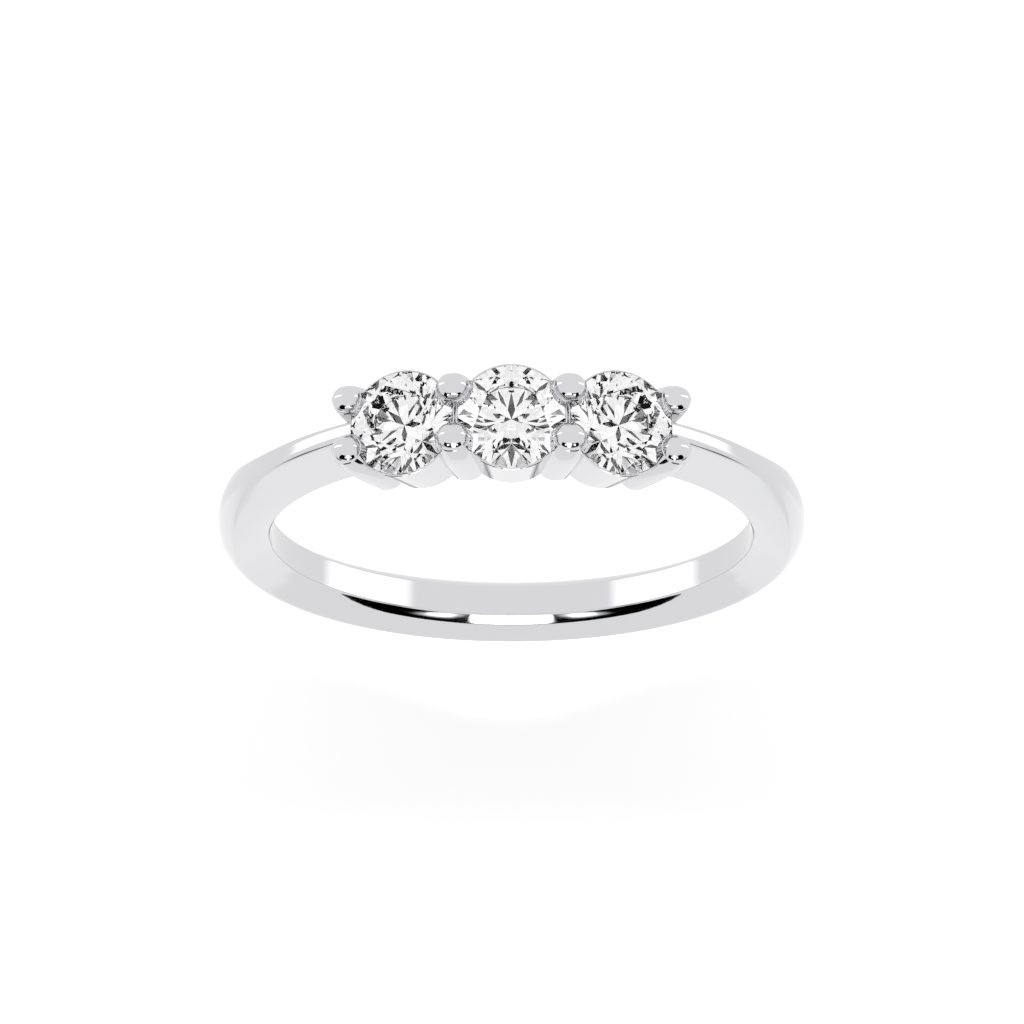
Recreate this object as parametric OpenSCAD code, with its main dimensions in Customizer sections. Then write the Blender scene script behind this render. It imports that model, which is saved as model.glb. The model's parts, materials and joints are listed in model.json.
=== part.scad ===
// Three stone ring: a comfort-fit shank with pinched shoulders, three open-backed cups,
// eight ball-tipped prongs and three round brilliants. Lengths are in millimetres.
// The ring lies on its side as it would on a table, with its head toward -Y.
// The origin is the centre of the finger hole.

/* [Finger hole] */
// Diameter of the finger hole
finger_d = 17.3; // [15:0.1:21]
// Width of the flat band that touches the finger
bore_land = 0.98; // [0.8:0.02:1.1]
// Radius that eases each inner edge of the shank
bore_edge_r = 0.33; // [0.25:0.01:0.4]

/* [Shank] */
// Thickness of the shank, measured outward from the finger hole
shank_t = 1.85; // [1.75:0.05:2.2]
// Width between the two sides of the shank, where they would meet the finger without eased edges
root_w = 1.52; // [1.48:0.02:1.7]
// Lean of each side of the shank, so that it widens outward
flank_lean = 18.5; // [17:0.5:20]
// Radius of the rounded outer face, across the shank
crown_r = 1.25; // [1.2:0.05:1.4]
// Width of the straight middle of the outer face
crown_flat = 0.14; // [0.1:0.02:0.2]
// Radius between the outer face and each side
outer_edge_r = 0.2; // [0.15:0.01:0.3]

/* [Shoulders] */
// How far the curve of each shoulder is centred past the finger axis, which lifts it toward the head
shoulder_flare = 1.85; // [1.5:0.05:2]
// Direction of the narrowest place of each shoulder, seen from the finger axis, away from the head
pinch_angle = 50; // [46:1:52]
// Width left there at the finger
pinch_w = 1.3; // [1.2:0.02:1.4]
// Lean of each pinched side, so that the shoulder narrows outward
pinch_lean = 7.5; // [6:0.5:9]
// Radius of the hollow curve that each pinched side has along the shoulder
pinch_curve = 38; // [34:1:44]

/* [Stones] */
// Diameter of each round brilliant
stone_d = 3.82; // [3.4:0.02:4]
// Space between the girdles of neighbouring stones
stone_spacing = 0.13; // [0.1:0.01:0.4]
// Height of the girdles above the finger
stone_lift = 2.52; // [2.4:0.02:3]
// Thickness of each girdle at its thickest points
girdle_t = 0.12; // [0.08:0.01:0.16]
// Diameter of the table across its corners, as a share of the stone's diameter
table_share = 0.58; // [0.53:0.01:0.62]
// Angle of the eight crown mains
crown_angle = 34.5; // [32:0.5:36]
// Angle of the eight pavilion mains
pavilion_angle = 40.8; // [40:0.2:42]
// Length of the star facets, as a share of the way from the table to the girdle
star_share = 0.5; // [0.45:0.01:0.6]
// Length of the lower halves, as a share of the way from the girdle to the culet
lower_share = 0.78; // [0.7:0.01:0.85]

/* [Cups] */
// How far each cup's rim stands out past its stone
rim_lip = 0.09; // [0.06:0.01:0.14]
// Diameter of each cup at its foot
foot_d = 3.3; // [3.1:0.05:3.5]
// Diameter of the open back of each cup
back_d = 2.5; // [2.2:0.05:2.6]

/* [Prongs] */
// Radius of each ball tip
tip_r = 0.47; // [0.4:0.01:0.52]
// Height of each ball tip above its shoulder
tip_h = 0.42; // [0.3:0.01:0.47]
// Distance from the finger surface to the shoulder under each ball tip
tip_lift = 3.25; // [3.1:0.01:3.7]
// Radius of a prong at the shoulder under its tip
neck_r = 0.57; // [0.54:0.01:0.6]
// Radius of a prong at its fullest
belly_r = 0.68; // [0.62:0.01:0.72]
// Distance of that fullest place from the finger surface
belly_lift = 2.2; // [1.6:0.05:2.4]
// Radius of a prong at its foot
base_r = 0.57; // [0.5:0.01:0.6]
// Distance of each prong's centre from the middle plane of the ring
prong_offset = 0.94; // [0.9:0.01:1.1]
// Extra length of a shared prong along the finger curve
shared_span = 0.15; // [0.05:0.01:0.25]
// Extra length of an end prong along the finger curve
end_span = 0.09; // [0.02:0.01:0.2]
// Distance of an end prong's centre from its stone's axis
end_offset = 1.9; // [1.8:0.02:2.1]

/* [Clearances] */
// Gap between a stone and its seat
stone_gap = 0.02; // [0.01:0.005:0.04]
// Gap between the setting's feet and the finger
foot_gap = 0.1; // [0.05:0.01:0.2]

/* [Hidden] */
$fn = 96;
finger_r = finger_d / 2;
stone_r = stone_d / 2;
// Radius from the finger axis to the girdles, and the angle from one stone to the next
girdle_reach = finger_r + stone_lift;
stone_step = 2 * asin((stone_d + stone_spacing) / 2 / girdle_reach);
// Bounds for blocks that cut past the whole ring
far = 3 * finger_d;

// Shank section, with x outward from the finger axis and y along it
shank_outer = finger_r + shank_t;
crown_x = shank_outer - crown_r;
crown_y = crown_flat / 2;
// Distance from the centre of the rounded face to the line of a side, square to that side
crown_depth = (crown_x - finger_r) * sin(flank_lean) + (root_w / 2 - crown_y) * cos(flank_lean);
// How far the rounded face turns from the outward direction before its edge begins
crown_turn = 90 + flank_lean - acos((crown_depth - outer_edge_r) / (crown_r - outer_edge_r));
corner_x = crown_x + (crown_r - outer_edge_r) * cos(crown_turn);
corner_y = crown_y + (crown_r - outer_edge_r) * sin(crown_turn);
flank_top = [corner_x - outer_edge_r * sin(flank_lean), corner_y + outer_edge_r * cos(flank_lean)];
// The section runs inside the finger surface, where the hole then trims it
section_root = finger_r - foot_gap;
root_y = root_w / 2 - foot_gap * tan(flank_lean);

// Crown and pavilion of a stone, measured from the middle of its girdle
girdle_half = girdle_t / 2;
table_r = stone_r * table_share;
table_z = girdle_half + (stone_r - table_r) * tan(crown_angle);
// The eight mains, and the points of the stars and lower halves, lie half a step of 45 degrees apart
main_step = 45;
// Sides of the polygon that rounds each girdle, a multiple of the 16 halves
girdle_sides = 64;
star_r = table_r * cos(main_step / 2) + (stone_r - table_r * cos(main_step / 2)) * star_share;
star_z = girdle_half + (stone_r - star_r * cos(main_step / 2)) * tan(crown_angle);
lower_r = stone_r * (1 - lower_share);
lower_z = girdle_half + (stone_r - lower_r * cos(main_step / 2)) * tan(pavilion_angle);
culet_z = girdle_half + stone_r * tan(pavilion_angle);
upper_angle = atan((star_z - girdle_half) / ((stone_r - star_r) * cos(main_step / 4)));
lower_angle = atan((lower_z - girdle_half) / ((stone_r - lower_r) * cos(main_step / 4)));

// Cups and prongs, measured from the finger axis
rim_r = stone_r + rim_lip;
foot_reach = finger_r + foot_gap;
tip_reach = finger_r + tip_lift;
belly_reach = finger_r + belly_lift;
// Radius of the sphere whose cap is a ball tip
cap_r = (tip_r * tip_r + tip_h * tip_h) / (2 * tip_h);
// Prongs start below the feet, where the setting is then trimmed
root_reach = finger_r - tip_r;
end_angle = stone_step + asin(end_offset / tip_reach);

// Each shoulder ends inside its end cup, level with the far side of the stone
shoulder_end = girdle_reach * sin(stone_step) + (stone_r - rim_lip) * cos(stone_step);
shoulder_sweep = acos((shoulder_end + shoulder_flare) / (shank_outer + shoulder_flare));

// The ring rests on the rims of its side cups and on the far edge of its shank
rest_y = girdle_reach * cos(stone_step) + corner_x;
rest_z = rim_r - corner_y;
rest_lean = atan(rest_z / rest_y) - asin(outer_edge_r / norm([rest_y, rest_z]));

// Outline of the shank before the finger hole is cut, as wide as it gets near its outer face
module shank_section() {
    reach = 2 * crown_r;
    crown_end = [crown_x + crown_r * cos(crown_turn), crown_y + crown_r * sin(crown_turn)];
    polygon([
        [section_root, -root_y],
        [flank_top[0], -flank_top[1]],
        [crown_end[0], -crown_end[1]],
        [shank_outer, -crown_y],
        [shank_outer, crown_y],
        crown_end,
        flank_top,
        [section_root, root_y]
    ]);
    for (side = [0, 1])
        mirror([0, side]) {
            translate([crown_x, crown_y])
                intersection() {
                    circle(r = crown_r);
                    polygon([[0, 0], [reach, 0], [reach * cos(crown_turn), reach * sin(crown_turn)]]);
                }
            translate([corner_x, corner_y])
                circle(r = outer_edge_r);
        }
}

// Half of the shank away from the head, and a shoulder on each side, up to the end cup
module shank_blank() {
    rotate_extrude(angle = 180)
        shank_section();
    for (side = [0, 1])
        mirror([side, 0, 0])
            translate([-shoulder_flare, 0, 0])
                rotate([180, 0, 0])
                    rotate_extrude(angle = shoulder_sweep)
                        translate([shoulder_flare, 0])
                            shank_section();
}

// Room for the finger, with both edges eased outward
module finger_room() {
    rotate_extrude()
        difference() {
            union() {
                translate([0, -far / 2])
                    square([finger_r, far]);
                for (side = [0, 1])
                    mirror([0, side])
                        translate([0, bore_land / 2])
                            square([finger_r + bore_edge_r, far / 2]);
            }
            for (side = [-1, 1])
                translate([finger_r + bore_edge_r, side * bore_land / 2])
                    circle(r = bore_edge_r);
        }
}

// What is filed off one side of one shoulder
module pinch_block() {
    on_finger(pinch_angle)
        translate([0, pinch_w / 2, finger_r])
            rotate([pinch_lean, 0, 0])
                translate([0, pinch_curve, 0])
                    cylinder(r = pinch_curve, h = far, center = true);
}

module shank() {
    difference() {
        shank_blank();
        finger_room();
        for (side = [0, 1])
            for (face = [0, 1])
                mirror([side, 0, 0])
                    mirror([0, 0, face])
                        pinch_block();
    }
}

// Places its children on the finger curve, by their angle from the middle of the head toward +X.
// +Z there points outward and +X runs along the curve.
module on_finger(angle) {
    rotate([90, 0, angle])
        children();
}

// Outside of one cup, from below its foot up to the middle of the girdle
module cup_body() {
    slope = (rim_r - foot_d / 2) / (girdle_reach - foot_reach);
    depth = girdle_reach - root_reach;
    translate([0, 0, root_reach])
        cylinder(h = depth, r1 = rim_r - slope * depth, r2 = rim_r);
}

// Half outline of a prong, with its ball tip
module prong_outline() {
    neck = neck_r - tip_r;
    polygon([
        [0, root_reach],
        [base_r, root_reach],
        [base_r, foot_reach],
        [belly_r, belly_reach],
        [neck_r, tip_reach - neck],
        [tip_r, tip_reach],
        [0, tip_reach]
    ]);
    intersection() {
        translate([0, tip_reach + tip_h - cap_r])
            circle(r = cap_r);
        translate([0, tip_reach])
            square([tip_r, tip_h]);
    }
}

// A prong that is round at each end and straight between, by its span along the finger curve
module prong(span) {
    for (side = [0, 1])
        mirror([side, 0, 0])
            translate([span / 2, 0, 0])
                rotate_extrude()
                    prong_outline();
    rotate([90, 0, 90])
        linear_extrude(span, center = true)
            for (side = [0, 1])
                mirror([side, 0])
                    prong_outline();
}

// A prong in front and one behind, at one place on the finger curve
module prong_pair(angle, span) {
    on_finger(angle)
        for (side = [-1, 1])
            translate([0, side * prong_offset, 0])
                prong(span);
}

// The room that a stone takes up in its cup and under its prongs, with the stone's gap round it
module stone_room() {
    translate([0, 0, girdle_reach])
        rotate_extrude()
            polygon([
                [0, -culet_z - stone_gap],
                [lower_r + stone_gap, -lower_z - stone_gap],
                [stone_r + stone_gap, -girdle_half - stone_gap],
                [stone_r + stone_gap, girdle_half + stone_gap],
                [star_r + stone_gap, star_z + stone_gap],
                [table_r + stone_gap, table_z + stone_gap],
                [0, table_z + stone_gap]
            ]);
}

// The open back of a cup, from the finger to the stone
module cup_back() {
    cylinder(h = girdle_reach, d = back_d);
}

// The cups and prongs, trimmed clear of the finger, before the stones' seats are cut
module setting_blank() {
    difference() {
        union() {
            for (place = [-1, 0, 1])
                on_finger(place * stone_step)
                    cup_body();
            for (side = [-1, 1]) {
                prong_pair(side * stone_step / 2, shared_span);
                prong_pair(side * end_angle, end_span);
            }
        }
        cylinder(h = far, r = foot_reach, center = true);
    }
}

module band_and_setting() {
    color("gainsboro")
        rotate([-rest_lean, 0, 0])
            difference() {
                union() {
                    shank();
                    setting_blank();
                }
                for (place = [-1, 0, 1])
                    on_finger(place * stone_step) {
                        stone_room();
                        cup_back();
                    }
            }
}

// A point by its radius and azimuth round a stone's axis and its height above the girdle
function polar(radius, azimuth, height) = [radius * cos(azimuth), radius * sin(azimuth), height];

// Height of the girdle's edge at an azimuth, where facets of this angle cut it in 16 scallops
function edge_height(azimuth, angle) =
    girdle_half
    + stone_r * (cos(main_step / 4) - cos(azimuth % (main_step / 2) - main_step / 4)) * tan(angle);

// A round brilliant with its girdle's middle at the origin. Its points come in rings from the table
// down, each with a first number, and each facet names its points clockwise as seen from outside.
module brilliant() {
    mains = 360 / main_step;
    half_sides = girdle_sides / mains / 2;
    side_step = 360 / girdle_sides;
    stars = mains;
    upper_edge = stars + mains;
    lower_edge = upper_edge + girdle_sides;
    lowers = lower_edge + girdle_sides;
    culet = lowers + mains;
    points = [
        for (k = [0:mains - 1]) polar(table_r, k * main_step, table_z),
        for (k = [0:mains - 1]) polar(star_r, (k + 0.5) * main_step, star_z),
        for (i = [0:girdle_sides - 1])
            polar(stone_r, i * side_step, edge_height(i * side_step, upper_angle)),
        for (i = [0:girdle_sides - 1])
            polar(stone_r, i * side_step, -edge_height(i * side_step, lower_angle)),
        for (k = [0:mains - 1]) polar(lower_r, (k + 0.5) * main_step, -lower_z),
        [0, 0, -culet_z]
    ];
    table = [for (k = [mains - 1:-1:0]) k];
    star_facets = [for (k = [0:mains - 1]) [k, (k + 1) % mains, stars + k]];
    crown_mains = [
        for (k = [0:mains - 1])
            [k, stars + k, upper_edge + 2 * k * half_sides, stars + (k + mains - 1) % mains]
    ];
    upper_halves = [
        for (j = [0:2 * mains - 1]) [
            stars + floor(j / 2),
            for (i = [half_sides:-1:0]) upper_edge + (j * half_sides + i) % girdle_sides
        ]
    ];
    girdle = [
        for (i = [0:girdle_sides - 1])
            let (next = (i + 1) % girdle_sides)
                [lower_edge + i, upper_edge + i, upper_edge + next, lower_edge + next]
    ];
    lower_halves = [
        for (j = [0:2 * mains - 1]) [
            lowers + floor(j / 2),
            for (i = [0:half_sides]) lower_edge + (j * half_sides + i) % girdle_sides
        ]
    ];
    pavilion_mains = [
        for (k = [0:mains - 1])
            [culet, lowers + (k + mains - 1) % mains, lower_edge + 2 * k * half_sides, lowers + k]
    ];
    polyhedron(
        points = points,
        faces = concat(
            [table], star_facets, crown_mains, upper_halves, girdle, lower_halves, pavilion_mains
        )
    );
}

// A stone in its cup, by its place along the finger curve. Left is toward +X, as it is for a viewer
// who looks down at the ring with its head pointing up the page.
module set_stone(place) {
    rotate([-rest_lean, 0, 0])
        on_finger(place * stone_step)
            translate([0, 0, girdle_reach])
                brilliant();
}

module stone_left() {
    color("aliceblue")
        set_stone(1);
}

module stone_center() {
    color("aliceblue")
        set_stone(0);
}

module stone_right() {
    color("aliceblue")
        set_stone(-1);
}

band_and_setting();
stone_left();
stone_center();
stone_right();
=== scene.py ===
"""A three stone ring in rhodium-plated white gold, lying on its side on a white studio floor.

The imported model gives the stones, cut facet by facet, and where everything is. This script models
the metal as one dense mesh with softened edges, and gives every surface its finish.
"""
import json
import logging
import math
from dataclasses import dataclass
from enum import Enum

import bpy
from mathutils import Matrix, Vector


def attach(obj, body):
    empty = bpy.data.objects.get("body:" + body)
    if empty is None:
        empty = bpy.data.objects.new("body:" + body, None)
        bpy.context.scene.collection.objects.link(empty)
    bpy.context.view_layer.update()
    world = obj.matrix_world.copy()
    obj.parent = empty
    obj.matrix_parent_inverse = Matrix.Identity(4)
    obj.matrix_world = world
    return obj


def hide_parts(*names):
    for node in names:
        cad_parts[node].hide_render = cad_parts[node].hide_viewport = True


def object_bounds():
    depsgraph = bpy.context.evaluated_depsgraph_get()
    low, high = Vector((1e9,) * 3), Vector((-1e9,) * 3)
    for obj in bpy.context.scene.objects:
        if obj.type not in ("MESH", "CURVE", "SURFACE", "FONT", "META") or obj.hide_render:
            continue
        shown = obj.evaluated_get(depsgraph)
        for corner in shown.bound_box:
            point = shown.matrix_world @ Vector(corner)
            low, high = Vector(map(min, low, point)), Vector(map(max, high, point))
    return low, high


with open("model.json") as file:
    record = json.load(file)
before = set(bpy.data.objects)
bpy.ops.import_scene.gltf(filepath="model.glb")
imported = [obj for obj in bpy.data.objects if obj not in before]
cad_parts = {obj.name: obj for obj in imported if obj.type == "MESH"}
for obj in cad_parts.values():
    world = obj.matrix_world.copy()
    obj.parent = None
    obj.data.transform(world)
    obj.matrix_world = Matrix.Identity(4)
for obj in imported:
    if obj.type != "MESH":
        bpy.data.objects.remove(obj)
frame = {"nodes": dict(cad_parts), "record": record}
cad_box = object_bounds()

log = logging.getLogger("three_stone_ring")

MM = 0.001
PHOTO_PX = 1024
SENSOR_MM = 36.0
# How far the studio's cards stand from the ring, in metres.
CARD_DISTANCE = 0.3
# A point of the unit circle that is this close to the Y axis counts as on it.
ON_AXIS = 0.001
# The share of a card that its edge takes up where it isn't soft.
HARD_EDGE = 0.001
STONE_BOUNCES = 32
METAL_BOUNCES = 12


class Join(Enum):
    """What becomes of a second solid: it is added to the first, or cut out of it."""

    ADD = "UNION"
    CUT = "DIFFERENCE"


def linear(hex_colour: str, alpha: float = 1.0) -> tuple[float, float, float, float]:
    """Turns an sRGB hex colour to the linear values that shaders take.

    Args:
        hex_colour: Six hex digits, with or without a leading mark.
        alpha: Opacity, passed through.

    Returns:
        Linear red, green and blue, and the opacity.
    """
    digits = hex_colour.lstrip("#")
    channels = []
    for start in (0, 2, 4):
        value = int(digits[start:start + 2], 16) / 255
        channels.append(value / 12.92 if value <= 0.04045 else ((value + 0.055) / 1.055) ** 2.4)
    return channels[0], channels[1], channels[2], alpha


def add_node(tree: bpy.types.NodeTree, kind: str, settings: dict[str, object] | None = None,
             links: dict[str, bpy.types.NodeSocket] | None = None) -> bpy.types.Node:
    """Adds a node with its settings and links.

    Args:
        tree: The node tree that it goes into.
        kind: The node's type name.
        settings: Values by property name or by input socket name.
        links: Output sockets by the name of the input that each feeds.

    Returns:
        The new node.
    """
    node = tree.nodes.new(kind)
    for name, value in (settings or {}).items():
        if hasattr(node, name) and name not in node.inputs:
            setattr(node, name, value)
        else:
            node.inputs[name].default_value = value
    for name, output in (links or {}).items():
        tree.links.new(output, node.inputs[name])
    return node


def dress(piece: bpy.types.Object, material: bpy.types.Material) -> None:
    """Gives a piece one material all over."""
    piece.data.materials.clear()
    piece.data.materials.append(material)


@dataclass(frozen=True)
class PolishedWhiteGold:
    """Fourteen carat white gold, cast, mirror polished and plated with rhodium.

    The plating gives a bright, very slightly cool grey mirror. Buffing leaves shallow ripples about
    a millimetre across. Its hairlines are too fine to show, so they are drawn as a faint haze that
    varies every 0.06 mm, about as fine as the render can show.
    """

    name: str = "rhodium_plated_white_gold"
    colour: str = "#DADADC"
    roughness: float = 0.045
    haze: float = 0.03
    ripple_mm: float = 0.9
    ripple_depth_mm: float = 0.00012
    hairline_mm: float = 0.06

    def make(self) -> bpy.types.Material:
        """Builds the finish.

        Returns:
            The material.
        """
        material = bpy.data.materials.new(self.name)
        material.use_nodes = True
        tree = material.node_tree
        tree.nodes.clear()
        place = add_node(tree, "ShaderNodeTexCoord")
        hairlines = add_node(tree, "ShaderNodeTexNoise",
                             {"Scale": 1 / (self.hairline_mm * MM), "Detail": 3.0},
                             {"Vector": place.outputs["Object"]})
        roughness = add_node(tree, "ShaderNodeMapRange",
                             {"From Min": 0.3, "From Max": 0.7, "To Min": self.roughness,
                              "To Max": self.roughness + self.haze},
                             {"Value": hairlines.outputs["Fac"]})
        ripples = add_node(tree, "ShaderNodeTexNoise",
                           {"Scale": 1 / (self.ripple_mm * MM), "Detail": 1.0},
                           {"Vector": place.outputs["Object"]})
        bump = add_node(tree, "ShaderNodeBump",
                        {"Strength": 1.0, "Distance": self.ripple_depth_mm * MM},
                        {"Height": ripples.outputs["Fac"]})
        surface = add_node(tree, "ShaderNodeBsdfPrincipled",
                           {"Base Color": linear(self.colour), "Metallic": 1.0},
                           {"Roughness": roughness.outputs["Result"],
                            "Normal": bump.outputs["Normal"]})
        add_node(tree, "ShaderNodeOutputMaterial", None, {"Surface": surface.outputs["BSDF"]})
        return material


@dataclass(frozen=True)
class CutDiamond:
    """Colourless diamond, cut and polished on a lap.

    Each facet is a true plane with a perfect polish, so all that it shows is what it mirrors and
    bends. Diamond's index of 2.417 turns most light back out through the table.
    """

    name: str = "polished_diamond"
    colour: str = "#FFFFFF"
    index: float = 2.417

    def make(self) -> bpy.types.Material:
        """Builds the finish.

        Returns:
            The material.
        """
        material = bpy.data.materials.new(self.name)
        material.use_nodes = True
        tree = material.node_tree
        tree.nodes.clear()
        surface = add_node(tree, "ShaderNodeBsdfPrincipled",
                           {"Base Color": linear(self.colour), "Metallic": 0.0, "Roughness": 0.0,
                            "IOR": self.index, "Transmission Weight": 1.0})
        add_node(tree, "ShaderNodeOutputMaterial", None, {"Surface": surface.outputs["BSDF"]})
        return material


@dataclass(frozen=True)
class StudioPaper:
    """Matt white seamless paper with a painted glow, not lit from below. Near the ring it glows until it is
    plain white, which hides the ring's shade on it. Behind the ring the glow is gone, and there the lamps
    light it and the soft shadow shows.

    The painted glow fades between bright_mm and shade_mm behind the middle of the finger hole. Near the
    ring's middle plane, up to pool_half_mm to each side, the fade starts up to pool_mm later, which paints a
    pool of light behind the middle of the band.
    """

    name: str = "white_studio_paper"
    colour: str = "#EAEAEA"
    painted_front_glow: float = 0.95
    painted_back_glow: float = 0.0
    bright_mm: float = 9.0
    shade_mm: float = 20.0
    pool_mm: float = 5.0
    pool_half_mm: float = 7.5

    def make(self) -> bpy.types.Material:
        """Builds the finish.

        Returns:
            The material.
        """
        material = bpy.data.materials.new(self.name)
        material.use_nodes = True
        tree = material.node_tree
        tree.nodes.clear()
        place = add_node(tree, "ShaderNodeTexCoord")
        axes = add_node(tree, "ShaderNodeSeparateXYZ", None, {"Vector": place.outputs["Object"]})
        aside = add_node(tree, "ShaderNodeMath", {"operation": "ABSOLUTE"},
                         {"Value": axes.outputs["X"]})
        # Painted light: the glow's fade starts later behind the band's middle, a painted pool of light
        # there.
        pool = add_node(tree, "ShaderNodeMapRange",
                        {"interpolation_type": "SMOOTHSTEP", "From Min": 0.0,
                         "From Max": self.pool_half_mm * MM, "To Min": self.pool_mm * MM,
                         "To Max": 0.0},
                        {"Value": aside.outputs["Value"]})
        depth = add_node(tree, "ShaderNodeMath", {"operation": "SUBTRACT"},
                         {"Value": axes.outputs["Y"]})
        tree.links.new(pool.outputs["Result"], depth.inputs[1])
        glow = add_node(tree, "ShaderNodeMapRange",
                        {"interpolation_type": "SMOOTHSTEP", "From Min": self.bright_mm * MM,
                         "From Max": self.shade_mm * MM, "To Min": self.painted_front_glow,
                         "To Max": self.painted_back_glow},
                        {"Value": depth.outputs["Value"]})
        # Painted light: the paper glows near the ring and in the pool behind it, which hides the ring's
        # shade on the floor.
        painted_glow = add_node(tree, "ShaderNodeEmission", None, {"Strength": glow.outputs["Result"]})
        paper = add_node(tree, "ShaderNodeBsdfDiffuse", {"Color": linear(self.colour)})
        surface = add_node(tree, "ShaderNodeAddShader")
        tree.links.new(paper.outputs["BSDF"], surface.inputs[0])
        tree.links.new(painted_glow.outputs["Emission"], surface.inputs[1])
        add_node(tree, "ShaderNodeOutputMaterial", None, {"Surface": surface.outputs["Shader"]})
        return material


@dataclass
class Seat:
    """How the ring lies: its finger axis leans a little, and it touches the floor at two ends."""

    lean: float
    floor_z: float

    @classmethod
    def from_frame(cls) -> "Seat":
        """Reads the lean from the finger hole's axis and the floor from the model's lowest point."""
        axis = frame["record"]["mounts"][0]["axis"]
        return cls(lean=math.atan2(axis[1], axis[2]), floor_z=cad_box[0][2])


@dataclass
class PhotoCamera:
    """The camera of the photograph: a long lens, a little above the floor, with its roll turned so
    that the ring's head points up the image. It sees nothing nearer than clip_start, in metres."""

    distance_mm: float = 1000.0
    view_angle: float = 70.59
    px_per_mm: float = 27.93
    centre_x: float = 511.44
    centre_y: float = 521.2
    clip_start: float = 0.05

    def direction(self, seat: Seat) -> Vector:
        """The unit vector from the ring toward the camera."""
        angle = math.radians(self.view_angle) - seat.lean
        return Vector((0, -math.sin(angle), math.cos(angle)))

    def make(self, seat: Seat) -> bpy.types.Object:
        """Adds the camera and makes it the scene's own.

        Args:
            seat: How the ring lies.

        Returns:
            The camera.
        """
        toward = self.direction(seat)
        right = Vector((-1, 0, 0))
        up = toward.cross(right)
        data = bpy.data.cameras.new("photo_camera")
        data.sensor_width = SENSOR_MM
        data.lens = self.distance_mm * self.px_per_mm * SENSOR_MM / PHOTO_PX
        data.shift_x = (PHOTO_PX / 2 - self.centre_x) / PHOTO_PX
        data.shift_y = (self.centre_y - PHOTO_PX / 2) / PHOTO_PX
        data.clip_start = self.clip_start
        camera = bpy.data.objects.new("photo_camera", data)
        turn = Matrix((right, up, toward)).transposed().to_4x4()
        camera.matrix_world = Matrix.Translation(toward * self.distance_mm * MM) @ turn
        bpy.context.scene.collection.objects.link(camera)
        bpy.context.scene.camera = camera
        return camera


def deselect_all() -> None:
    """Leaves nothing selected in object mode."""
    if bpy.context.object is not None and bpy.context.object.mode != "OBJECT":
        bpy.ops.object.mode_set(mode="OBJECT")
    bpy.ops.object.select_all(action="DESELECT")


def turned(name: str, outline: list[tuple[float, float]], sides: int, span: float = 0.0) -> bpy.types.Object:
    """Turns an outline about the Z axis, by moving the rings of a sphere to the outline's points.

    Args:
        name: The piece's name.
        outline: Radius and height of each ring, from the lowest up. The first and last lie on the axis.
        sides: Number of sides.
        span: Straight length between the two round halves, along X.

    Returns:
        The closed piece.
    """
    deselect_all()
    rings = len(outline) - 1
    bpy.ops.mesh.primitive_uv_sphere_add(segments=sides, ring_count=rings, radius=1)
    piece = bpy.context.object
    piece.name = name
    for vertex in piece.data.vertices:
        from_top = math.acos(max(-1.0, min(1.0, vertex.co.z)))
        radius, height = outline[round(rings * (1 - from_top / math.pi))]
        way = Vector((vertex.co.x, vertex.co.y))
        if way.length > 0:
            way.normalize()
        half = math.copysign(span / 2, way.x) if abs(way.x) > ON_AXIS else 0.0
        vertex.co = Vector((radius * way.x + half, radius * way.y, height))
    return piece


def arc(centre: tuple[float, float], radius: float, start: float, end: float,
        steps: int) -> list[tuple[float, float]]:
    """Gives the points of an arc, both ends included.

    Args:
        centre: The arc's centre.
        radius: Its radius.
        start: The first point's angle, in radians.
        end: The last point's angle.
        steps: Number of equal steps.

    Returns:
        The points, in order.
    """
    return [(centre[0] + radius * math.cos(start + (end - start) * k / steps),
             centre[1] + radius * math.sin(start + (end - start) * k / steps))
            for k in range(steps + 1)]


def eased(share: float) -> float:
    """Runs from 0 to 1 with no kink at either end, and stays there outside."""
    share = max(0.0, min(1.0, share))
    return share * share * (3 - 2 * share)


def combine(target: bpy.types.Object, other: bpy.types.Object, join: Join) -> None:
    """Joins another solid to the target, or cuts it away, and removes it.

    Args:
        target: The solid that is kept.
        other: The solid that is used up.
        join: Whether it is added or cut out.
    """
    deselect_all()
    bpy.context.view_layer.objects.active = target
    target.select_set(True)
    modifier = target.modifiers.new("combine", "BOOLEAN")
    modifier.operation = join.value
    modifier.solver = "MANIFOLD"
    modifier.object = other
    bpy.ops.object.modifier_apply(modifier=modifier.name)
    bpy.data.objects.remove(other, do_unlink=True)


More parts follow.
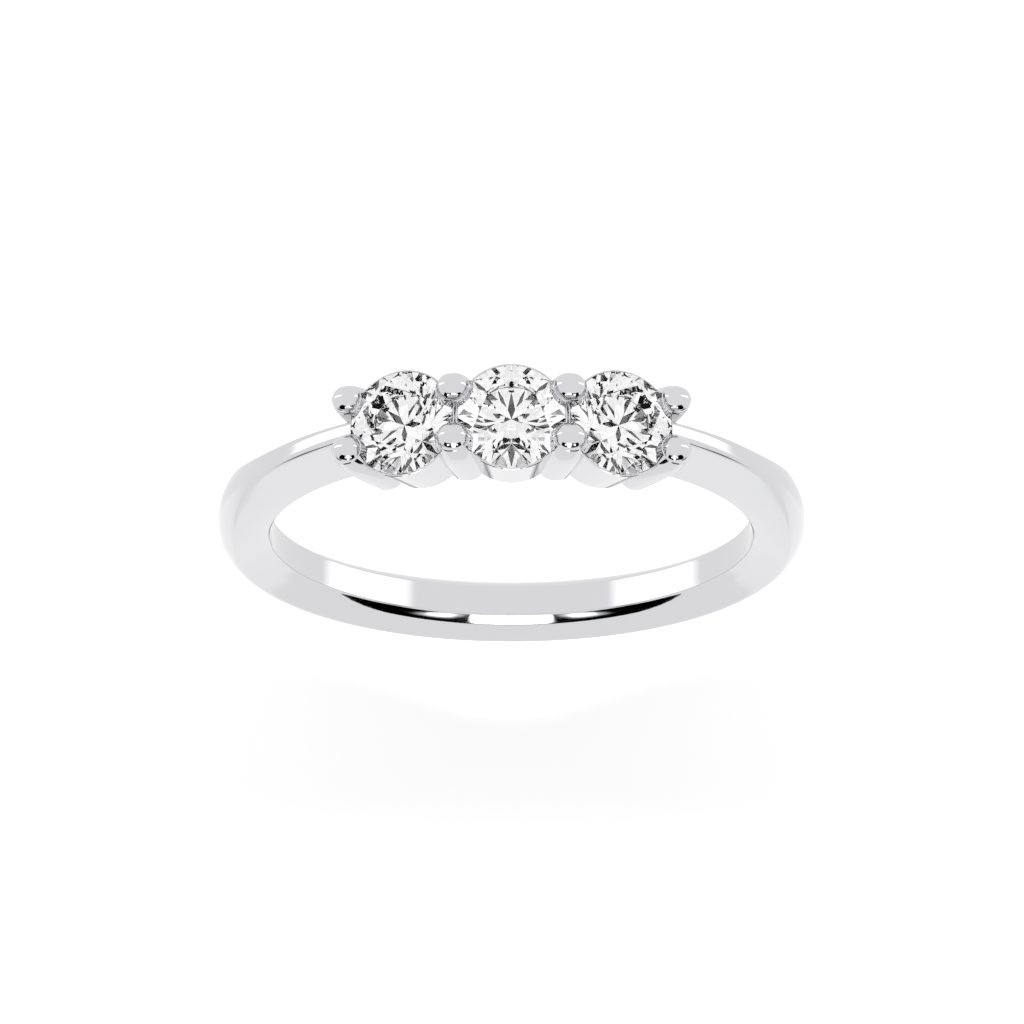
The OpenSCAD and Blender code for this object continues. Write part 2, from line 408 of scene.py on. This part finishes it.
@dataclass
class Shank:
    """The ring's band: comfort-fit inside, crowned outside, and pinched at its two shoulders.

    Sizes are in millimetres and degrees. A place along the band is its angle from the head. Each
    inner edge is rounded and then bevelled, more and more toward the back of the band. Where it is
    still sharp, the bore's land stops sharp_room of its radii short of the side. The section grows
    from the pinch to its full size, slowly at first, by the power swell.
    """

    finger_r: float = 8.65
    thickness: float = 1.846
    land_half: float = 0.49
    bore_edge_r: float = 0.1
    bevel_start: float = 46.0
    bevel_end: float = 61.0
    side_half: float = 0.65
    side_lean: float = 22.5
    side_edge_r: float = 0.22
    crown_r: float = 1.25
    crown_half_flat: float = 0.09
    flare: float = 2.0
    pinch_lean: float = -6.9
    pinch_edge_r: float = 0.18
    pinch_end: float = 47.7
    full_start: float = 92.5
    swell: float = 1.5
    sharp_edge_r: float = 0.02
    sharp_room: float = 1.2
    bevel_full: float = 135.0
    hidden_end: float = 27.5
    steps_round: int = 360
    edge_steps: int = 8
    crown_steps: int = 14
    land_steps: int = 3

    def outer_reach(self, angle: float) -> float:
        """Works out how far the outer face reaches, which the shoulders lift toward the head.

        Args:
            angle: The section's place, in degrees from the head.

        Returns:
            The radius of the crown's middle.
        """
        reach = self.finger_r + self.thickness
        if angle >= 90:
            return reach
        away = math.radians(angle)
        return (math.sqrt((reach + self.flare) ** 2 - (self.flare * math.cos(away)) ** 2)
                - self.flare * math.sin(away))

    def inner_edge(self, lean: float, grown: float) -> list[tuple[float, float]]:
        """Works out the rounded and bevelled inner edge, up to the band's side.

        Args:
            lean: Lean of the side, in radians.
            grown: How far the bevel has grown, from 0 to 1.

        Returns:
            Radius and width of each point.
        """
        radius = self.sharp_edge_r + (self.bore_edge_r - self.sharp_edge_r) * grown
        start, end = math.radians(self.bevel_start), math.radians(self.bevel_end)
        land = self.side_half - self.sharp_room * self.sharp_edge_r
        land += (self.land_half - land) * grown
        rounding = arc((self.finger_r + radius, land), radius, math.pi, math.pi - start,
                       self.edge_steps)
        reach, width = rounding[-1]
        along = (math.sin((start + end) / 2), math.cos((start + end) / 2))
        room = self.side_half + math.tan(lean) * (reach - self.finger_r) - width
        length = room / (along[1] - math.tan(lean) * along[0])
        radius = length / 2 / math.sin((end - start) / 2)
        centre = (reach + radius * math.cos(start), width - radius * math.sin(start))
        return rounding + arc(centre, radius, math.pi - start, math.pi - end, self.edge_steps)[1:]

    def half_outline(self, angle: float) -> list[tuple[float, float]]:
        """Works out half of the band's section.

        Args:
            angle: The section's place, in degrees from the head.

        Returns:
            Radius and width of each point, from the middle of the bore to the middle of the crown.
        """
        share = eased((angle - self.pinch_end) / (self.full_start - self.pinch_end)) ** self.swell
        grown = eased((angle - self.pinch_end) / (self.bevel_full - self.pinch_end))
        lean = math.radians(self.pinch_lean + (self.side_lean - self.pinch_lean) * share)
        edge_r = self.pinch_edge_r + (self.side_edge_r - self.pinch_edge_r) * share
        square = lean + math.pi / 2
        reach = self.outer_reach(angle)
        crown = (reach - self.crown_r, self.crown_half_flat)
        depth = (math.sin(lean) * (crown[0] - self.finger_r)
                 + math.cos(lean) * (self.side_half - self.crown_half_flat))
        turn = square - math.acos((depth - edge_r) / (self.crown_r - edge_r))
        corner = (crown[0] + (self.crown_r - edge_r) * math.cos(turn),
                  crown[1] + (self.crown_r - edge_r) * math.sin(turn))
        bore = self.inner_edge(lean, grown)
        edge = arc(corner, edge_r, square, turn, self.edge_steps)
        steps = self.edge_steps
        side = [(bore[-1][0] + (edge[0][0] - bore[-1][0]) * k / steps,
                 bore[-1][1] + (edge[0][1] - bore[-1][1]) * k / steps) for k in range(1, steps)]
        land = [(self.finger_r, bore[0][1] * k / self.land_steps) for k in range(self.land_steps)]
        top = arc(crown, self.crown_r, turn, 0, self.crown_steps)[1:]
        return land + bore + side + edge + top + [(reach, 0.0)]

    def make(self) -> bpy.types.Object:
        """Builds the band, open where the head covers it, with its two ends closed.

        A torus of guide_r gives the faces, and each of its points moves to its place on the band.

        Returns:
            The closed solid.
        """
        deselect_all()
        guide_r = 10.0
        half_turn = 180.0
        half_count = len(self.half_outline(half_turn)) - 1
        bpy.ops.mesh.primitive_torus_add(major_segments=self.steps_round, minor_segments=2 * half_count,
                                         major_radius=guide_r, minor_radius=1)
        band = bpy.context.object
        band.name = "band"
        outlines = {}
        for vertex in band.data.vertices:
            x, y, z = vertex.co
            step = round(math.atan2(x, -y) / math.tau * self.steps_round)
            angle = step * 2 * half_turn / self.steps_round
            place = round((math.pi - math.atan2(z, math.hypot(x, y) - guide_r)) / math.pi * half_count)
            place = place % (2 * half_count)
            side = 1 if place <= half_count else -1
            if abs(step) not in outlines:
                outlines[abs(step)] = self.half_outline(max(abs(angle), self.hidden_end))
            reach, width = outlines[abs(step)][place if side > 0 else 2 * half_count - place]
            away = math.radians(angle)
            vertex.co = Vector((reach * math.sin(away), -reach * math.cos(away), side * width))
        bpy.ops.object.mode_set(mode="EDIT")
        bpy.ops.mesh.select_mode(type="VERT")
        bpy.ops.mesh.select_all(action="DESELECT")
        bpy.ops.object.mode_set(mode="OBJECT")
        margin = 0.01
        hidden = math.radians(self.hidden_end) - margin
        for vertex in band.data.vertices:
            vertex.select = abs(math.atan2(vertex.co.x, -vertex.co.y)) < hidden
        bpy.ops.object.mode_set(mode="EDIT")
        bpy.ops.mesh.delete(type="VERT")
        bpy.ops.mesh.select_all(action="SELECT")
        bpy.ops.mesh.fill_holes(sides=0)
        bpy.ops.mesh.normals_make_consistent(inside=False)
        bpy.ops.object.mode_set(mode="OBJECT")
        return band


@dataclass
class Setting:
    """Three open-backed cups on the finger curve, with a shared pair of prongs between neighbours
    and a pair at each end.

    Sizes are in millimetres, and heights are above the finger axis. Everything starts root_depth
    inside the finger hole, and is then trimmed clear of it.
    """

    finger_r: float = 8.65
    root_depth: float = 0.6
    foot_gap: float = 0.1
    stone_r: float = 1.91
    girdle_half: float = 0.06
    stone_spacing: float = 0.13
    girdle_reach: float = 11.17
    crown_angle: float = 34.5
    pavilion_angle: float = 40.8
    table_share: float = 0.58
    culet_r: float = 0.02
    seat_gap: float = 0.02
    rim_lip: float = 0.09
    rim_bevel: float = 0.02
    foot_r: float = 1.65
    back_r: float = 1.25
    back_start: float = 1.0
    tip_r: float = 0.51
    tip_h: float = 0.48
    tip_reach: float = 11.84
    neck_r: float = 0.54
    belly_r: float = 0.68
    belly_reach: float = 10.85
    base_r: float = 0.57
    prong_offset: float = 0.94
    shared_span: float = 0.15
    end_span: float = 0.09
    end_offset: float = 1.9
    trim_depth: float = 10.0
    cup_sides: int = 160
    prong_sides: int = 72
    finger_sides: int = 360
    belly_steps: int = 12
    neck_steps: int = 8
    tip_steps: int = 22

    @property
    def stone_step(self) -> float:
        """The angle from one stone to the next, in radians."""
        return 2 * math.asin((self.stone_r + self.stone_spacing / 2) / self.girdle_reach)

    @property
    def foot_reach(self) -> float:
        """Where the feet stop, clear of the finger."""
        return self.finger_r + self.foot_gap

    def on_finger(self, piece: bpy.types.Object, angle: float, offset: float = 0.0) -> bpy.types.Object:
        """Puts a piece on the finger curve.

        Args:
            piece: A piece whose Z axis will point outward.
            angle: Its place, in radians from the middle of the head toward +X.
            offset: How far it stands from the ring's middle plane.

        Returns:
            The same piece.
        """
        turn = Matrix.Rotation(angle, 4, "Z") @ Matrix.Rotation(math.pi / 2, 4, "X")
        piece.data.transform(turn @ Matrix.Translation((0, offset, 0)))
        return piece

    def cup(self) -> bpy.types.Object:
        """Turns the outside of one cup, with its rim softened.

        Returns:
            The cup, upright and solid.
        """
        rim = self.stone_r + self.rim_lip
        slope = (rim - self.foot_r) / (self.girdle_reach - self.foot_reach)
        root = self.finger_r - self.root_depth
        wall = [(rim - slope * (self.girdle_reach - height), height)
                for height in (root, self.foot_reach, self.girdle_reach - self.rim_bevel)]
        top = [(rim - self.rim_bevel, self.girdle_reach)]
        outline = [(0.0, root)] + wall + top + [(0.0, self.girdle_reach)]
        return turned("cup", outline, self.cup_sides)

    def prong(self, span: float) -> bpy.types.Object:
        """Turns one prong, fuller in its middle, with a ball tip on a narrow shoulder.

        Args:
            span: How much longer than wide it is, along X.

        Returns:
            The prong, upright.
        """
        root = self.finger_r - self.root_depth
        shoulder = self.tip_reach - (self.neck_r - self.tip_r)
        outline = [(0.0, root), (self.base_r, root), (self.base_r, self.foot_reach)]
        steps = self.belly_steps
        for k in range(1, steps + 1):
            outline.append((self.base_r + (self.belly_r - self.base_r) * math.sin(math.pi / 2 * k / steps),
                            self.foot_reach + (self.belly_reach - self.foot_reach) * k / steps))
        steps = self.neck_steps
        for k in range(1, steps + 1):
            outline.append((self.neck_r + (self.belly_r - self.neck_r) * math.cos(math.pi / 2 * k / steps),
                            self.belly_reach + (shoulder - self.belly_reach) * k / steps))
        outline.append((self.tip_r, self.tip_reach))
        cap_r = (self.tip_r ** 2 + self.tip_h ** 2) / (2 * self.tip_h)
        middle = self.tip_reach + self.tip_h - cap_r
        start = math.asin((self.tip_reach - middle) / cap_r)
        outline += arc((0.0, middle), cap_r, start, math.pi / 2, self.tip_steps)[1:-1]
        outline.append((0.0, self.tip_reach + self.tip_h))
        return turned("prong", outline, self.prong_sides, span)

    def stone_room(self) -> bpy.types.Object:
        """Turns the room that one stone takes up, with a little more all round.

        Returns:
            The room, upright and solid.
        """
        gap = self.seat_gap
        table_r = self.stone_r * self.table_share
        crown = self.girdle_half + (self.stone_r - table_r) * math.tan(math.radians(self.crown_angle))
        culet = self.girdle_half + self.stone_r * math.tan(math.radians(self.pavilion_angle))
        outline = [(0.0, -culet - gap), (self.culet_r, -culet - gap),
                   (self.stone_r + gap, -self.girdle_half - gap),
                   (self.stone_r + gap, self.girdle_half + gap),
                   (table_r + gap, crown + gap), (0.0, crown + gap)]
        outline = [(radius, height + self.girdle_reach) for radius, height in outline]
        return turned("stone_room", outline, self.cup_sides)

    def back(self) -> bpy.types.Object:
        """Turns the open back of one cup.

        Returns:
            A round bar, upright, to be cut out of the cup.
        """
        outline = [(0.0, self.back_start), (self.back_r, self.back_start),
                   (self.back_r, self.girdle_reach), (0.0, self.girdle_reach)]
        return turned("back", outline, self.cup_sides)

    def make(self) -> bpy.types.Object:
        """Builds the cups and prongs, trimmed clear of the finger.

        Returns:
            The setting as one solid, with no room for its stones yet.
        """
        step = self.stone_step
        end = step + math.asin(self.end_offset / self.tip_reach)
        head = self.on_finger(self.cup(), 0.0)
        head.name = "setting"
        for angle in (-step, step):
            combine(head, self.on_finger(self.cup(), angle), Join.ADD)
        for angle, span in ((step / 2, self.shared_span), (end, self.end_span)):
            for way in (-1, 1):
                for side in (-1, 1):
                    post = self.on_finger(self.prong(span), way * angle, side * self.prong_offset)
                    combine(head, post, Join.ADD)
        deselect_all()
        bpy.ops.mesh.primitive_cylinder_add(vertices=self.finger_sides, radius=self.foot_reach,
                                            depth=self.trim_depth)
        combine(head, bpy.context.object, Join.CUT)
        return head

    def seat_stones(self, metal: bpy.types.Object) -> None:
        """Cuts each stone's seat and open back into the joined metal.

        Args:
            metal: The band and the setting in one.
        """
        for place in (-1, 0, 1):
            combine(metal, self.on_finger(self.stone_room(), place * self.stone_step), Join.CUT)
            combine(metal, self.on_finger(self.back(), place * self.stone_step), Join.CUT)


@dataclass
class Metalwork:
    """The band and the setting, soldered into one piece. An edge sharper than crease stays sharp."""

    seat: Seat
    crease: float = 14.0

    def make(self) -> bpy.types.Object:
        """Joins the metal, softens its shading and lays it as the ring lies.

        Returns:
            The metal in one piece.
        """
        metal = Shank().make()
        log.info("band: %d faces", len(metal.data.polygons))
        setting = Setting()
        combine(metal, setting.make(), Join.ADD)
        setting.seat_stones(metal)
        metal.name = "soldered_metal"
        metal.data.transform(Matrix.Scale(MM, 4) @ Matrix.Rotation(-self.seat.lean, 4, "X"))
        deselect_all()
        metal.select_set(True)
        bpy.context.view_layer.objects.active = metal
        bpy.ops.object.shade_smooth_by_angle(angle=math.radians(self.crease))
        modifier = metal.modifiers.new("even_shading", "WEIGHTED_NORMAL")
        modifier.keep_sharp = True
        bpy.ops.object.modifier_apply(modifier=modifier.name)
        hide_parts("band_and_setting")
        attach(metal, "root")
        log.info("soldered metal: %d faces", len(metal.data.polygons))
        return metal


@dataclass
class Card:
    """A flat card of the studio, round the ring: a white lamp panel or a black flag.

    Lengths are in metres. Soft is the share of the card's width and of its height over which its
    glow runs out to rest_glow at each side. Taper narrows its upper side, and shift moves it in
    its own plane.
    """

    name: str
    toward: tuple[float, float, float]
    size: tuple[float, float]
    glow: float
    distance: float = CARD_DISTANCE
    up: tuple[float, float, float] = (0, 0, 1)
    in_metal: bool = True
    in_stones: bool = True
    lights_floor: bool = False
    shift: tuple[float, float] = (0, 0)
    soft: tuple[float, float] = (0, 0)
    rest_glow: float = 0.97
    taper: float = 1.0

    def make(self) -> bpy.types.Object:
        """Adds the card, facing the ring and unseen by the camera.

        Returns:
            The card.
        """
        deselect_all()
        bpy.ops.mesh.primitive_plane_add(size=1)
        card = bpy.context.object
        card.name = self.name
        out = Vector(self.toward).normalized()
        side = Vector(self.up).cross(out).normalized()
        turn = Matrix((side, out.cross(side), out)).transposed().to_4x4()
        size = Matrix.Diagonal((self.size[0], self.size[1], 1, 1))
        for vertex in card.data.vertices:
            vertex.co.x *= self.taper if vertex.co.y > 0 else 1
        place = out * self.distance + side * self.shift[0] + out.cross(side) * self.shift[1]
        card.data.transform(Matrix.Translation(place) @ turn @ size)
        material = bpy.data.materials.new(self.name)
        material.use_nodes = True
        tree = material.node_tree
        tree.nodes.clear()
        glow = add_node(tree, "ShaderNodeEmission", {"Color": (1, 1, 1, 1), "Strength": self.glow})
        if any(self.soft):
            self.soften(tree, glow)
        add_node(tree, "ShaderNodeOutputMaterial", None, {"Surface": glow.outputs["Emission"]})
        card.data.materials.append(material)
        card.visible_camera = False
        card.visible_shadow = False
        card.visible_diffuse = self.lights_floor
        card.visible_glossy = self.in_metal
        card.visible_transmission = self.in_stones
        return card

    def soften(self, tree: bpy.types.NodeTree, glow: bpy.types.Node) -> None:
        """Lets the card's glow run out to what is round it, toward its sides.

        Args:
            tree: The card's node tree.
            glow: Its emission node.
        """
        place = add_node(tree, "ShaderNodeUVMap")
        axes = add_node(tree, "ShaderNodeSeparateXYZ", None, {"Vector": place.outputs["UV"]})
        full = add_node(tree, "ShaderNodeMath", {"operation": "MULTIPLY"})
        middle = 0.5
        for count, axis in enumerate(("X", "Y")):
            inward = add_node(tree, "ShaderNodeMath", {"operation": "PINGPONG"})
            tree.links.new(axes.outputs[axis], inward.inputs[0])
            inward.inputs[1].default_value = middle
            share = add_node(tree, "ShaderNodeMapRange",
                             {"interpolation_type": "SMOOTHSTEP", "From Min": 0.0,
                              "From Max": max(self.soft[count], HARD_EDGE)},
                             {"Value": inward.outputs["Value"]})
            tree.links.new(share.outputs["Result"], full.inputs[count])
        run = add_node(tree, "ShaderNodeMapRange", {"To Min": self.rest_glow, "To Max": self.glow},
                       {"Value": full.outputs["Value"]})
        tree.links.new(run.outputs["Result"], glow.inputs["Strength"])


def wall_card(name: str, around: tuple[float, float], rise: tuple[float, float], glow: float,
              **choices: bool | float | tuple) -> Card:
    """Makes an upright card beside the ring.

    Args:
        name: The card's name.
        around: Its two sides, in degrees round the ring from the head's side toward +X.
        rise: Its lower and upper side, in degrees above the ring.
        glow: Its brightness.
        choices: Which rays see it and how soft it is, by the names of the card's own fields.

    Returns:
        The card, still to be made.
    """
    middle = math.radians(sum(around) / 2)
    low, high = (CARD_DISTANCE * math.tan(math.radians(angle)) for angle in rise)
    width = 2 * CARD_DISTANCE * math.tan(math.radians((around[1] - around[0]) / 2))
    return Card(name, (math.sin(middle), -math.cos(middle), 0), (width, high - low), glow,
                shift=(0, (low + high) / 2), **choices)


def ceiling_card(name: str, across: tuple[float, float], along: tuple[float, float], glow: float,
                 lower: float = 0.0, **choices: bool | float | tuple) -> Card:
    """Makes a card that lies level above the ring.

    Args:
        name: The card's name.
        across: Its two sides along X, as shares of its height.
        along: Its two sides along Y, as shares of its height.
        glow: Its brightness.
        lower: How far it hangs below the cards' usual distance, in metres.
        choices: Which rays see it, how soft it is and its taper, by the names of the card's fields.

    Returns:
        The card, still to be made.
    """
    level = CARD_DISTANCE - lower
    return Card(name, (0, 0, 1), ((across[1] - across[0]) * level, (along[1] - along[0]) * level), glow,
                distance=level, up=(0, 1, 0),
                shift=((across[0] + across[1]) / 2 * level, (along[0] + along[1]) / 2 * level),
                **choices)


def studio_cards(toward_camera: Vector) -> list[Card]:
    """Lists the cards that the metal and the stones mirror, and the lamps of the floor.

    Args:
        toward_camera: The direction from the ring to the camera.

    Returns:
        The cards, still to be made.
    """
    # The black and white along the band's inner edge, and the crescents on the prong tips.
    overhead = [
        ceiling_card("overhead_flag", (-0.95, 0.95), (-0.34, 0.45), 0.0),
        ceiling_card("overhead_window", (-0.235, 0.235), (-0.36, 0.42), 2.2, lower=0.01, taper=0.4),
        ceiling_card("glint_left", (0.2, 0.44), (-0.3, 0.22), 3.0, lower=0.008, soft=(0.5, 0.5),
                     rest_glow=0.0),
        ceiling_card("glint_right", (-0.44, -0.2), (-0.3, 0.22), 3.0, lower=0.008, soft=(0.5, 0.5),
                     rest_glow=0.0),
    ]
    # The dark line under the white strip on each shoulder.
    shoulder_flags = [
        Card("shoulder_flag_left", (13.3, -3.2, 8.8), (0.0065, 0.009), 0.0, distance=0.016,
             in_stones=False, soft=(0.45, 0.3)),
        Card("shoulder_flag_right", (-13.3, -3.2, 8.8), (0.0065, 0.009), 0.0, distance=0.016,
             in_stones=False, soft=(0.45, 0.3)),
    ]
    # The side panels give the white patches inside the band, the white strip on each shoulder and
    # the flecks on the prong tips. The back panel lightens the band's two sides.
    panels = [
        wall_card("side_panel_left", (46, 104), (-24, -14), 1.7, in_stones=False, soft=(0.2, 0)),
        wall_card("side_panel_right", (-104, -46), (-24, -14), 1.7, in_stones=False, soft=(0.2, 0)),
        wall_card("back_panel", (125, 235), (-24, 34), 1.08, in_stones=False, soft=(0.25, 0.08)),
    ]
    # Only the floor sees these, and they throw the ring's soft shadow on it.
    lamps = [
        wall_card("low_lamp", (-28, 28), (4.2, 6.2), 210.0, in_metal=False, in_stones=False,
                  lights_floor=True),
        wall_card("near_lamp", (-45, 45), (14, 20), 17.5, in_metal=False, in_stones=False,
                  lights_floor=True),
    ]
    # Only the stones see these, and show them in their dark facets.
    dark = [
        wall_card("dark_wall_left", (30, 48), (-26, -4), 0.0, in_metal=False),
        wall_card("dark_wall_right", (-48, -30), (-26, -4), 0.0, in_metal=False),
        Card("dark_lens", tuple(toward_camera), (0.145, 0.145), 0.0, in_metal=False),
    ]
    return overhead + shoulder_flags + panels + lamps + dark


@dataclass
class Studio:
    """The floor, the sky and the cards round the ring.

    The sky is the same all round. The stones' faces mirror it as in_facets, and what is seen
    through the stones is through_facets. The floor reaches floor_half metres to each side.
    """

    seat: Seat
    cards: list[Card]
    sky: float = 0.97
    in_facets: float = 0.04
    through_facets: float = 1.18
    floor_half: float = 0.6

    def make_floor(self) -> bpy.types.Object:
        """Adds the floor, where the ring's lowest points touch it.

        Returns:
            The floor.
        """
        deselect_all()
        bpy.ops.mesh.primitive_plane_add(size=2 * self.floor_half, location=(0, 0, self.seat.floor_z))
        floor = bpy.context.object
        floor.name = "studio_floor"
        bpy.ops.object.transform_apply(location=True, rotation=True, scale=True)
        floor.data.materials.append(StudioPaper().make())
        floor.visible_glossy = False
        floor.visible_transmission = False
        floor.visible_shadow = False
        return floor

    def make_sky(self) -> None:
        """Lights the ring evenly from all round. The stones' faces, the only perfect mirrors, show
        it darker, so that they don't veil what comes up through them."""
        world = bpy.data.worlds.new("studio_sky")
        world.use_nodes = True
        tree = world.node_tree
        tree.nodes.clear()
        way = add_node(tree, "ShaderNodeLightPath")
        facet = add_node(tree, "ShaderNodeMath", {"operation": "MULTIPLY"})
        tree.links.new(way.outputs["Is Singular Ray"], facet.inputs[0])
        tree.links.new(way.outputs["Is Reflection Ray"], facet.inputs[1])
        plain = add_node(tree, "ShaderNodeMapRange", {"To Min": self.sky, "To Max": self.in_facets},
                         {"Value": facet.outputs["Value"]})
        glow = add_node(tree, "ShaderNodeMapRange", {"To Max": self.through_facets},
                        {"Value": way.outputs["Is Transmission Ray"], "To Min": plain.outputs["Result"]})
        sky = add_node(tree, "ShaderNodeBackground", {"Color": (1, 1, 1, 1)},
                       {"Strength": glow.outputs["Result"]})
        add_node(tree, "ShaderNodeOutputWorld", None, {"Surface": sky.outputs["Background"]})
        bpy.context.scene.world = world

    def make(self) -> None:
        """Builds the studio."""
        self.make_floor()
        self.make_sky()
        for card in self.cards:
            card.make()


def main() -> None:
    """Builds the ring and its studio, and reports each piece."""
    logging.basicConfig(level=logging.INFO, format="%(message)s")
    seat = Seat.from_frame()
    camera = PhotoCamera()
    camera.make(seat)
    studio = Studio(seat, studio_cards(camera.direction(seat)))
    studio.make()
    scene = bpy.context.scene
    scene.view_settings.view_transform = "Standard"
    scene.cycles.max_bounces = STONE_BOUNCES
    scene.cycles.transmission_bounces = STONE_BOUNCES
    scene.cycles.glossy_bounces = METAL_BOUNCES
    gold = PolishedWhiteGold().make()
    diamond = CutDiamond().make()
    dress(Metalwork(seat).make(), gold)
    for name in ("stone_left", "stone_center", "stone_right"):
        dress(frame["nodes"][name], diamond)
        log.info("%s: cut diamond", name)


if __name__ == "__main__":
    main()
